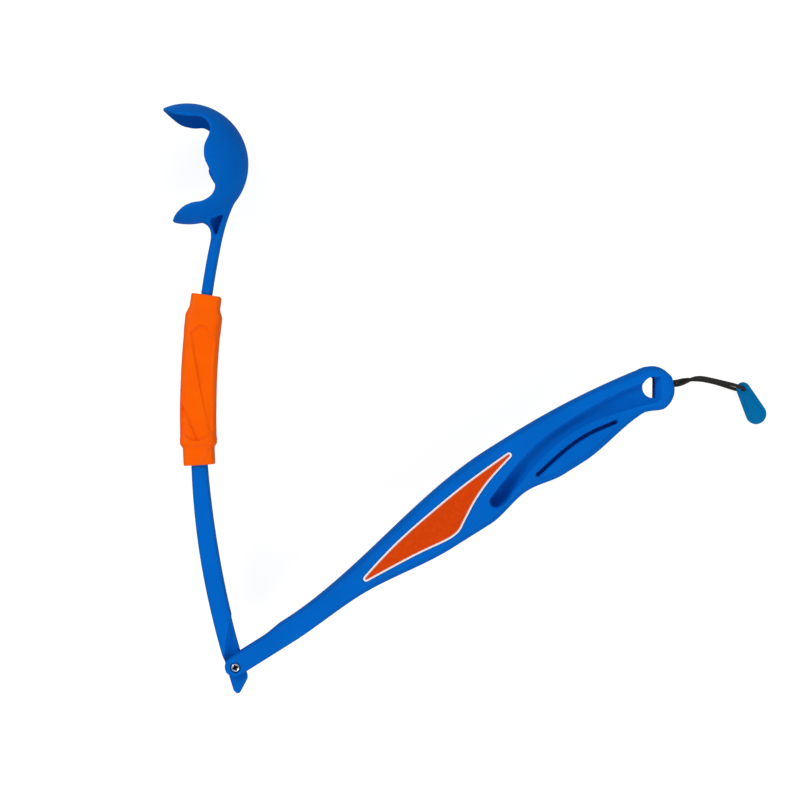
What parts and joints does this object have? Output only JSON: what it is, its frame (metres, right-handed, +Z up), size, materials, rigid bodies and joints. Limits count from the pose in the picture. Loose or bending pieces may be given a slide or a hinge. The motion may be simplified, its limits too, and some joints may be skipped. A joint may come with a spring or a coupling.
{
  "type": "folding ball launcher",
  "caption": "Folding ball launcher for dogs: a bowed throwing arm with a claw cup hinged in the fork of a long moulded handle, with a sliding locking sleeve and a pull tab on a cord.",
  "frame": {"origin": "on the floor under the middle of the launcher's box, measured without the cord and its tab", "axes": "+Z up, square to the plane that the launcher folds in; +Y towards the claw, +X towards the butt of the handle"},
  "size_m": [0.3605, 0.3426, 0.066],
  "materials": {
    "blue_plastic": "satin",
    "orange_plastic": "glossy",
    "badge_white": "glossy",
    "badge_orange": "glossy",
    "steel": "zinc plated",
    "cord_black": "braided",
    "teal_plastic": "satin"
  },
  "bodies": {
    "handle": {"handle_body": "blue_plastic", "badge_frame_front": "badge_white", "badge_panel_front": "badge_orange", "badge_frame_back": "badge_white", "badge_panel_back": "badge_orange", "hinge_screw": "steel", "hinge_barrel_nut": "steel", "pull_cord": "cord_black", "cord_knot": "cord_black"},
    "arm": {"throwing_arm": "blue_plastic"},
    "sleeve": {"locking_sleeve": "orange_plastic"},
    "tab": {"pull_tab": "teal_plastic"}
  },
  "joints": [
    {"name": "fold", "type": "hinge", "parent": "handle", "child": "arm", "pos_m": [-0.10664, -0.156, 0.03302], "axis": [0, 0, 1], "range_deg": [-49, 105]},
    {"name": "sleeve_slide", "type": "hinge", "parent": "arm", "child": "sleeve", "pos_m": [0.37151, -0.00981, 0.03302], "axis": [0, 0, 1], "range_deg": [-2.8, 8.5]},
    {"name": "tab_swing", "type": "hinge", "parent": "handle", "child": "tab", "pos_m": [0.19632, 0.00599, 0.00329], "axis": [0.0675, -0.1217, 0.9903], "range_deg": [-60, 90]}
  ]
}
